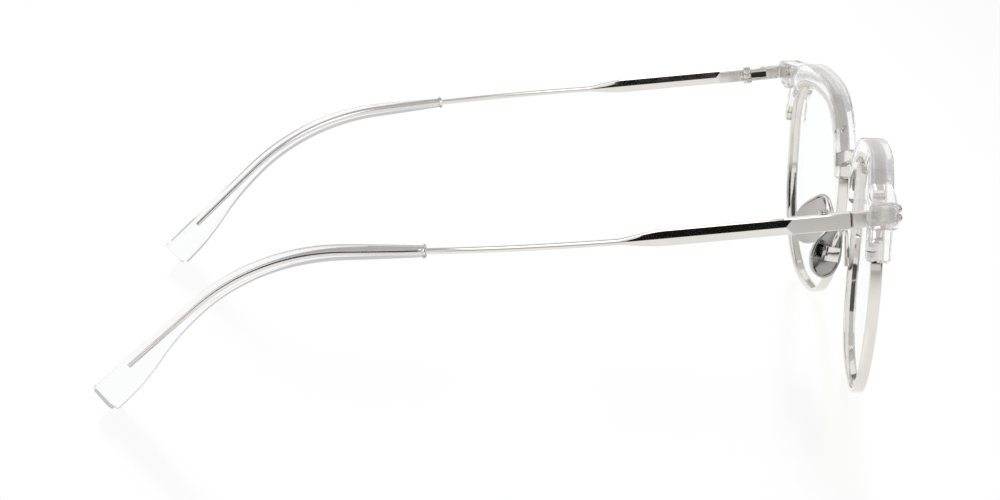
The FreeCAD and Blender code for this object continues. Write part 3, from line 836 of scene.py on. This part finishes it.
bridge = {
    "reach": 10.2, "span": 13.5, "y": 1.75, "z": 38.1, "rise": 3.4, "sweep": 0.9,
    "depth": 1.05, "middle": 1.3, "end": 1.65, "endReach": 11.5, "round": 0.6, "stations": 61,
}


def bridgeShape():
    deep = bridge["depth"]
    rings = []
    for x in spread(-bridge["reach"], bridge["reach"], bridge["stations"]):
        fall = (1 - math.cos(math.pi * x / bridge["span"])) / 2
        high = bridge["middle"] + (bridge["end"] - bridge["middle"]) * abs(x) / bridge["endReach"]
        spot = Vector((x, bridge["y"] + bridge["sweep"] * fall, bridge["z"] - bridge["rise"] * fall))
        section = roundedBox(-deep, deep, -high, high, bridge["round"], 6)
        rings.append([spot + Vector((0, a, b)) for a, b in section])
    return skinned(rings)


# Nose rest: dished pads on bent wires. Each row of face and hollow is a depth and an inset

pad = {
    "outline": [
        (-0.9, 6.0), (1.2, 4.3), (2.9, 1.6), (3.45, -1.6), (2.4, -4.6),
        (0.0, -5.8), (-2.3, -4.7), (-3.35, -1.8), (-3.0, 1.8), (-2.2, 4.6),
    ],
    "half": 0.65, "edge": 0.45, "flange": 0.5, "lip": 0.12, "sides": 72, "shrinkFrom": 1.5, "shrinkSpan": 3.6,
    "face": [(-0.77, 3.2), (-0.75, 1.8)],
    "hollow": [(0.3, 0.55), (0.16, 0.8), (0.02, 1.45), (-0.1, 2.2), (-0.12, 3.0)],
    "hollowTop": 0.42, "hollowFacing": 0.15,
    "drop": 7.74, "centre": Vector((1.6, 4.76, 3.8)), "frontal": 17.0, "lean": 13.6, "splay": 6.0,
    "boxRise": -0.4, "boxHalf": 1.6, "screwOut": 2.15,
    "lugStart": -0.11, "lugEnd": 2.7, "lugDepth": 1.3, "lugHeight": 1.5, "lugRound": 0.2,
}
arm = {
    "radius": 0.45, "foot": 0.7, "footShare": 0.3, "sides": 20, "smooth": 16,
    "route": [
        (0.05, 0.11, 0.0), (-0.2, 0.26, 2.4), (-0.2, 0.46, 4.8), (0.45, 0.71, 7.0),
        (2.4, 1.56, 8.5), (3.9, 2.66, 8.2), (4.25, 3.46, 6.8), (3.6, 3.86, 4.9),
    ],
}
footSpot = Vector((-eyeReach("bottom", "nasal", pad["drop"]), 0, -pad["drop"]))
footSpot.y = eyeSag(footSpot) + rim["deep"]
footSpot = fromEye(footSpot)
padTurn = Matrix.Rotation(math.radians(-pad["frontal"]), 3, "Z")
padTurn = padTurn @ Matrix.Rotation(math.radians(pad["lean"]), 3, "X")
padTurn = padTurn @ Matrix.Rotation(math.radians(-pad["splay"]), 3, "Y")


def padSpot(x, y, z):
    return padTurn @ Vector((x, y, z)) + footSpot + pad["centre"]


def padLoop():
    # The pad's outline with its inward directions, smooth through its points
    marks = [Vector(mark) for mark in pad["outline"]]
    size = len(marks)
    loop = []
    for k in range(pad["sides"]):
        at = k / pad["sides"] * size
        j = int(at)
        t = at - j
        a, b, c, d = [marks[(j + step) % size] for step in (-1, 0, 1, 2)]
        square = 2 * a - 5 * b + 4 * c - d
        cube = 3 * b - a - 3 * c + d
        along = (c - a) + 2 * square * t + 3 * cube * t ** 2
        loop.append((0.5 * (2 * b + (c - a) * t + square * t ** 2 + cube * t ** 3),
                     Vector((along.y, -along.x)).normalized()))
    return loop


def padShape():
    half, edge, flange, lip = pad["half"], pad["edge"], pad["flange"], pad["lip"]
    rows = pad["face"] + [(cut - half, inset) for inset, cut in reversed(arc(edge, 6))]
    rows += [(half - lip, 0), (half, lip), (half, flange - lip), (half - lip, flange)] + pad["hollow"]
    loop = padLoop()
    rings = []
    for x, inset in rows:
        if inset < pad["shrinkFrom"]:
            marks = [spot + inward * inset for spot, inward in loop]
        else:
            marks = [spot * (1 - inset / pad["shrinkSpan"]) for spot, inward in loop]
        rings.append([padSpot(x, *mark) for mark in marks])
    return skinned(rings)


def lugShape():
    deep, high, rise = pad["lugDepth"] / 2, pad["lugHeight"] / 2, pad["boxRise"]
    section = roundedBox(-deep, deep, rise - high, rise + high, pad["lugRound"], 4)
    return skinned([[padSpot(x, a, b) for a, b in section] for x in (pad["lugStart"], pad["lugEnd"])])


def paintShadeInside(piece, side):
    # The hollow of the pad's back gets a darker finish as painted shade
    piece.data.materials.append(padInside)
    inwards = padTurn.transposed()
    for polygon in piece.data.polygons:
        spot = flipped(polygon.center / millimetre - tableShift, side)
        local = inwards @ (spot - footSpot - pad["centre"])
        facing = inwards @ flipped(polygon.normal, side)
        polygon.material_index = int(facing.x > pad["hollowFacing"] and local.x < pad["hollowTop"])


# Geometry trees for what follows a path or repeats

def makeTree(name, inputs):
    tree = bpy.data.node_groups.new(name, "GeometryNodeTree")
    for label, kind in inputs.items():
        tree.interface.new_socket(label, in_out="INPUT", socket_type="NodeSocket" + kind)
    tree.interface.new_socket("Geometry", in_out="OUTPUT", socket_type="NodeSocketGeometry")
    return {label: Tie(tree, None).make("NodeGroupInput", label, {}) for label in inputs}


def closeTree(given, made):
    real = made.make("GeometryNodeRealizeInstances", 0, {"Geometry": made})
    painted = made.make("GeometryNodeSetMaterial", 0, {"Geometry": real, "Material": given["Material"]})
    made.make("NodeGroupOutput", 0, {"Geometry": painted})
    return made.tree


def wireTree():
    # Sweeps a round wire along a curve whose points carry their own radius
    given = makeTree("sweptWire", {"Geometry": "Geometry", "Sides": "Int", "Material": "Material"})
    route = given["Geometry"]
    ring = route.make("GeometryNodeCurvePrimitiveCircle", "Curve", {
        "Radius": 1.0, "Resolution": given["Sides"]})
    width = route.make("GeometryNodeInputRadius", 0, {})
    return closeTree(given, route.make("GeometryNodeCurveToMesh", "Mesh", {
        "Curve": route, "Profile Curve": ring, "Scale": width, "Fill Caps": True}))


def screwTree():
    # Sets one screw on every point, turned along the point's aim
    given = makeTree("setScrews", {"Geometry": "Geometry", "Screw": "Object", "Material": "Material"})
    spots = given["Geometry"]
    source = spots.make("GeometryNodeObjectInfo", "Geometry", {"Object": given["Screw"]})
    aim = spots.make(
        "GeometryNodeInputNamedAttribute", "Attribute", {"Name": "aim"}, data_type="FLOAT_VECTOR")
    turn = spots.make("FunctionNodeAlignRotationToVector", "Rotation", {"Vector": aim}, axis="Z")
    return closeTree(given, spots.make("GeometryNodeInstanceOnPoints", "Instances", {
        "Points": spots, "Instance": source, "Rotation": turn}))


sweptWire = wireTree()
setScrews = screwTree()


def grown(name, tree, data, values):
    # The tree's result as a plain mesh, without the object that carried it
    holder = placed(name + "Holder", data)
    modifier = holder.modifiers.new("grow", "NODES")
    modifier.node_group = tree
    sockets = {item.name: item.identifier for item in tree.interface.items_tree if item.in_out == "INPUT"}
    for label, value in values.items():
        modifier[sockets[label]] = value
    mesh = worked(holder, modifier)
    bpy.data.objects.remove(holder)
    piece = placed(name, mesh)
    settle(piece, sharp=30)
    return piece


def armPiece(name, side):
    route = [footSpot + Vector(mark) for mark in arm["route"]]
    curve = bpy.data.curves.new(name + "Route", "CURVE")
    curve.dimensions = "3D"
    curve.resolution_u = arm["smooth"]
    spline = curve.splines.new("BEZIER")
    last = len(route) - 1
    spline.bezier_points.add(last)
    for k, knot in enumerate(spline.bezier_points):
        swell = max(0, 1 - k / last / arm["footShare"])
        knot.co = toScene(route[k], side)
        knot.radius = (arm["radius"] + (arm["foot"] - arm["radius"]) * swell) * millimetre
        knot.handle_left_type = "AUTO"
        knot.handle_right_type = "AUTO"
    return grown(name, sweptWire, curve, {"Sides": arm["sides"], "Material": materials["polished_metal"]})


# Screws and rivets, each set drawn once and placed on points

screws = {
    "rivetHeads": {
        "node": "front_rivets", "head": 0.72, "high": 0.75, "shank": 0.4, "long": 1.9, "slot": 0},
    "hingeScrews": {
        "node": "hinge_screws", "head": 0.85, "high": 0.35, "shank": 0.5, "long": 3.3, "slot": 0.24},
    "padScrews": {
        "node": "pad_screws", "head": 0.65, "high": 0.4, "shank": 0.4, "long": 3.2, "slot": 0.2},
    "lockScrews": {
        "node": "rim_lock_screws", "head": 0.85, "high": 0.45, "shank": 0.5, "long": 2.85, "slot": 0.24},
}
screwForm = {
    "sides": 32, "rows": 9, "endShare": 0.8, "endRise": 0.1, "foot": 0.3, "footShare": 0.94, "footRise": 0.4,
    "dome": 0.7, "slotFloor": 0.45, "slotReach": 2,
}


def screwPlaces():
    # Spots on the left half, each with the way its head points
    rivetSide = temple["barInner"] + endPiece["thick"] / 2 - endPiece["inset"]
    rises = (-endPiece["rivetRise"], endPiece["rivetRise"])
    lockEnd = Vector((lockSide + lock["out"], lockBack, lock["height"] - lock["half"]))
    ahead = hingeTurn @ Vector((0, -1, 0))
    boxFace = padSpot(pad["screwOut"], pad["boxHalf"], pad["boxRise"])
    return {
        "rivetHeads": [(hingeSpot(rivetSide, -endPiece["rivetAhead"], z), ahead) for z in rises],
        "hingeScrews": [(hingeSpot(0, 0, hinge["half"]), hingeTurn @ Vector((0, 0, 1)))],
        "padScrews": [(boxFace, padTurn @ Vector((0, 1, 0)))],
        "lockScrews": [(fromEye(lockEnd), eyeTurn @ Vector((0, 0, -1)))],
    }


def screwShape(shape):
    head, high, shank, end = shape["head"], shape["high"], shape["shank"], -shape["long"]
    foot = high * screwForm["foot"]
    rows = [(end, shank * screwForm["endShare"]), (end + screwForm["endRise"], shank), (0, shank)]
    rows += [(0, head * screwForm["footShare"]), (foot * screwForm["footRise"], head)]
    for turn in quarter(screwForm["rows"])[:-1]:
        rows.append((foot + (high - foot) * math.sin(turn), head * math.cos(turn) ** screwForm["dome"]))
    rings = []
    for z, radius in rows:
        rings.append([Vector((x, y, z)) - tableShift for x, y in circle(radius, screwForm["sides"])])
    return skinned(rings)


def slotCut(shape):
    half, low, past = shape["slot"] / 2, shape["high"] * screwForm["slotFloor"], screwForm["slotReach"]
    ends = [(-half, low), (half, low), (half, past), (-half, past)]
    return skinned([[Vector((x, y, z)) - tableShift for x, z in ends] for y in (-past, past)])


def screwPiece(name, shape, places):
    source = meshFrom(name + "Source", screwShape(shape), 1)
    if shape["slot"]:
        combined(source, meshFrom(name + "Slot", slotCut(shape), 1), "DIFFERENCE")
    both = [(toScene(spot, side), flipped(aim, side)) for spot, aim in places for side in sides.values()]
    mesh = bpy.data.meshes.new(name + "Points")
    mesh.from_pydata([spot for spot, aim in both], [], [])
    aims = mesh.attributes.new("aim", "FLOAT_VECTOR", "POINT")
    for row, (spot, aim) in zip(aims.data, both):
        row.vector = aim
    piece = grown(name, setScrews, mesh, {"Screw": source, "Material": materials["screw_metal"]})
    bpy.data.objects.remove(source)
    if "aim" in piece.data.attributes:
        piece.data.attributes.remove(piece.data.attributes["aim"])
    return piece


# All pieces

for name, side in sides.items():
    body = "temple_body_" + name
    finished(meshFrom("eyewire_" + name, rimShape(), side), "front", "polished_metal", "rim_" + name)
    finished(meshFrom("lensGlass_" + name, lensShape(), side), "front", "lens", "lens_" + name)
    clearBrow = meshFrom("clearBrow_" + name, browBand(), side)
    combined(clearBrow, meshFrom("endBlock_" + name, browBlock(), side), "UNION")
    combined(clearBrow, meshFrom("lockCut_" + name, lockPocket(), side), "DIFFERENCE")
    finished(clearBrow, "front", "clear_acetate", "brow_" + name)
    finished(meshFrom("templeBar_" + name, templeShape(), side), body, "polished_metal", "temple_" + name)
    clearTip = meshFrom("clearTip_" + name, tipShape(), side)
    combined(clearTip, meshFrom("tipCut_" + name, tipEnd(), side), "INTERSECT")
    bevelled(clearTip, tip["endRound"], segments=4, angle=50, sharp=35)
    finished(clearTip, body, "clear_acetate", "temple_tip_" + name, material=tipAcetate)
    padCup = meshFrom("padCup_" + name, padShape(), side)
    combined(padCup, meshFrom("padLug_" + name, lugShape(), side), "UNION")
    finished(padCup, "pad_body_" + name, "satin_metal", "nose_pad_" + name)
    paintShadeInside(padCup, side)
    finished(meshFrom("endTongue_" + name, endPieceShape(), side), "front", "polished_metal",
             "end_piece_" + name, material=hingeMetal)
    finished(meshFrom("hingeSlot_" + name, slotFloor(), side), "front", "screw_metal", material=slotShade)
    finished(meshFrom("hingeFront_" + name, frontLeaf(), side), "front", "polished_metal",
             "hinge_front_leaf_" + name, material=hingeMetal)
    finished(meshFrom("hingeTemple_" + name, templeLeaf(), side), body, "polished_metal",
             "hinge_temple_leaf_" + name, material=hingeMetal)
    for node, (label, width) in softNodes.items():
        finished(softened(label + name, node + name, width), "front", "polished_metal", node + name)
    finished(armPiece("padArm_" + name, side), "front", "polished_metal", "pad_arm_" + name)
finished(meshFrom("noseBridge", bridgeShape(), 1), "front", "polished_metal", "bridge", material=bridgeMetal)
for name, places in screwPlaces().items():
    finished(screwPiece(name, screws[name], places), "front", "screw_metal", screws[name]["node"])

slots = {row["node"]: row["material_slot"] for row in frame["record"]["subparts"]}
for node, item in frame["nodes"].items():
    for place in item.material_slots:
        place.material = materials[slots[node]]
print("stage: pieces")


# Studio, in metres, with the camera's place in the part's millimetres

studio = {
    "floor": 4.0, "floorGloss": 0.1, "fence": 1.3,
    "edgeStart": -0.13, "edgeEnd": -0.30, "edgeFar": (-0.24, -0.34),
    "viewerLift": 0.0005, "viewerDark": 0.68, "viewerRest": 0.3,
    "frontLift": 0.001, "frontDark": 0.9, "frontRest": 1.0,
    "viewerSide": (-0.25, 0.48), "viewerTop": 0.235, "frontSide": (-0.6, 0.5), "frontTop": 0.4,
    "rearStart": (-0.93, 0.5), "rearEnd": (-0.47, 1.1), "rearRise": (0.08, 1.1),
    "ceiling": 1.4, "ceilingStart": -1.9, "ceilingGlow": (0.62, 0.62, 0.62),
    "wall": 1.2, "wallHalf": 1.5, "wallRise": (0.03, 1.3), "wallGlow": (0.58, 0.58, 0.6),
}
softLight = {"wide": 0.9, "deep": 0.4, "energy": 1.6, "place": (-0.55, 0.15, 0.95), "tilt": -30}
view = {
    "turn": -90.289, "rise": 16.409, "roll": 0.454, "place": Vector((-445.51, 77.73, 148.68)), "lens": 79.25,
}


def makeFloor():
    material, surface, place = newMaterial("paleFloor")
    cloud = place.noise(3.0)
    seen = place.path("Is Camera Ray") + place.path("Is Transmission Ray") + place.path("Is Glossy Ray")
    plain = cloud.tinted((0.84, 0.84, 0.835), (0.87, 0.87, 0.865))
    glow = place.make("ShaderNodeEmission", 0, {"Color": seen.tinted(plain, (1, 1, 1))})
    fill(surface, {"Base Color": (1, 1, 1, 1), "Metallic": 1.0, "Roughness": cloud.ranged(0.17, 0.2)})
    mixed = place.make("ShaderNodeMixShader", 0, {0: studio["floorGloss"], 1: glow, 2: shineOf(surface)})
    cover(material, mixed)
    return material


def makeDark():
    material, surface, place = newMaterial("darkCard")
    cloud = place.noise(2.0)
    fill(surface, {
        "Base Color": cloud.tinted((0.006, 0.006, 0.006), (0.012, 0.012, 0.012)),
        "Roughness": cloud.ranged(0.8, 0.9), "Specular IOR Level": 0.0,
    })
    return material


def makeTableEdge(name, axis, dark, rest):
    # The white table fades into a dark room beyond the picture
    material, surface, place = newMaterial(name)
    along = place.part(axis)
    near = along.ranged(0.0, dark, studio["edgeStart"], studio["edgeEnd"])
    fill(surface, {
        "Alpha": near * along.ranged(1.0, rest, *studio["edgeFar"]),
        "Base Color": (0.01, 0.01, 0.01, 1), "Roughness": 0.9, "Specular IOR Level": 0.0,
    })
    return material


def makeGrey(name, glow):
    material, surface, place = newMaterial(name)
    fill(surface, {
        "Emission Color": place.noise(1.5).tinted([tone * 0.9 for tone in glow], glow),
        "Emission Strength": 1.0, "Base Color": (0, 0, 0, 1), "Specular IOR Level": 0.0,
    })
    return material


def card(name, corners, material):
    mesh = bpy.data.meshes.new(name)
    mesh.from_pydata(corners, [], [(0, 1, 2, 3)])
    mesh.materials.append(material)
    piece = placed(name, mesh)
    return piece


def flatCard(start, end, z):
    return [(start[0], start[1], z), (end[0], start[1], z), (end[0], end[1], z), (start[0], end[1], z)]


def uprightCard(start, end, low, high):
    return [(*start, low), (*end, low), (*end, high), (*start, high)]


def addCards():
    # Only mirrored and refracted rays see the cards: the far wall is for the clear pieces alone,
    # and the two in front are for the metal alone
    dark = makeDark()
    fence, edge = studio["fence"], studio["edgeStart"]
    viewerLow, viewerHigh = studio["viewerSide"]
    frontLow, frontHigh = studio["frontSide"]
    wall, wallHalf = studio["wall"], studio["wallHalf"]
    cards = {
        "viewerEdge": (flatCard((-fence, -fence), (edge, fence), studio["viewerLift"]),
                       makeTableEdge("viewerFade", 0, studio["viewerDark"], studio["viewerRest"])),
        "frontEdge": (flatCard((-fence, edge), (fence, -fence), studio["frontLift"]),
                      makeTableEdge("frontFade", 1, studio["frontDark"], studio["frontRest"])),
        "viewerSide": (uprightCard((-fence, viewerLow), (-fence, viewerHigh), 0, studio["viewerTop"]), dark),
        "viewerRear": (uprightCard(studio["rearStart"], studio["rearEnd"], *studio["rearRise"]), dark),
        "frontSide": (uprightCard((frontLow, -fence), (frontHigh, -fence), 0, studio["frontTop"]), dark),
        "ceiling": (flatCard((studio["ceilingStart"], -fence), (fence, fence), studio["ceiling"]),
                    makeGrey("greyCeiling", studio["ceilingGlow"])),
        "farWall": (uprightCard((wall, -wallHalf), (wall, wallHalf), *studio["wallRise"]),
                    makeGrey("greyWall", studio["wallGlow"])),
    }
    for name, (corners, material) in cards.items():
        piece = card(name, corners, material)
        piece.visible_camera = False
        piece.visible_shadow = False
        piece.visible_diffuse = False
        piece.visible_glossy = name != "farWall"
        piece.visible_transmission = name not in ("frontEdge", "frontSide")


def addLight():
    world = bpy.data.worlds.new("studio")
    bpy.context.scene.world = world
    world.use_nodes = True
    fill(world.node_tree.nodes["Background"], {"Color": (1, 1, 1, 1), "Strength": 1.0})
    lamp = bpy.data.lights.new("softbox", "AREA")
    lamp.shape = "RECTANGLE"
    lamp.size = softLight["wide"]
    lamp.size_y = softLight["deep"]
    lamp.energy = softLight["energy"]
    softbox = placed("softbox", lamp)
    softbox.location = softLight["place"]
    softbox.rotation_euler = (0, math.radians(softLight["tilt"]), 0)
    softbox.visible_camera = False


def addCamera():
    turn, rise, roll = [math.radians(view[key]) for key in ("turn", "rise", "roll")]
    back = Vector((math.sin(turn) * math.cos(rise), -math.cos(turn) * math.cos(rise), math.sin(rise)))
    right = (-back).cross(Vector((0, 0, 1))).normalized()
    up = right.cross(-back)
    rolledRight = right * math.cos(roll) + up * math.sin(roll)
    rolledUp = up * math.cos(roll) - right * math.sin(roll)
    data = bpy.data.cameras.new("camera")
    data.lens = view["lens"]
    data.sensor_width = 36.0
    data.sensor_fit = "HORIZONTAL"
    data.clip_start = 0.01
    data.clip_end = 50
    camera = placed("camera", data)
    turned = Matrix((rolledRight, rolledUp, back)).transposed().to_4x4()
    turned.translation = toScene(view["place"], 1)
    camera.matrix_world = turned
    bpy.context.scene.camera = camera


reach = studio["floor"]
card("floor", flatCard((-reach, -reach), (reach, reach), 0), makeFloor())
addCards()
addLight()
addCamera()
bpy.context.scene.view_settings.view_transform = "Standard"
print("stage: studio")
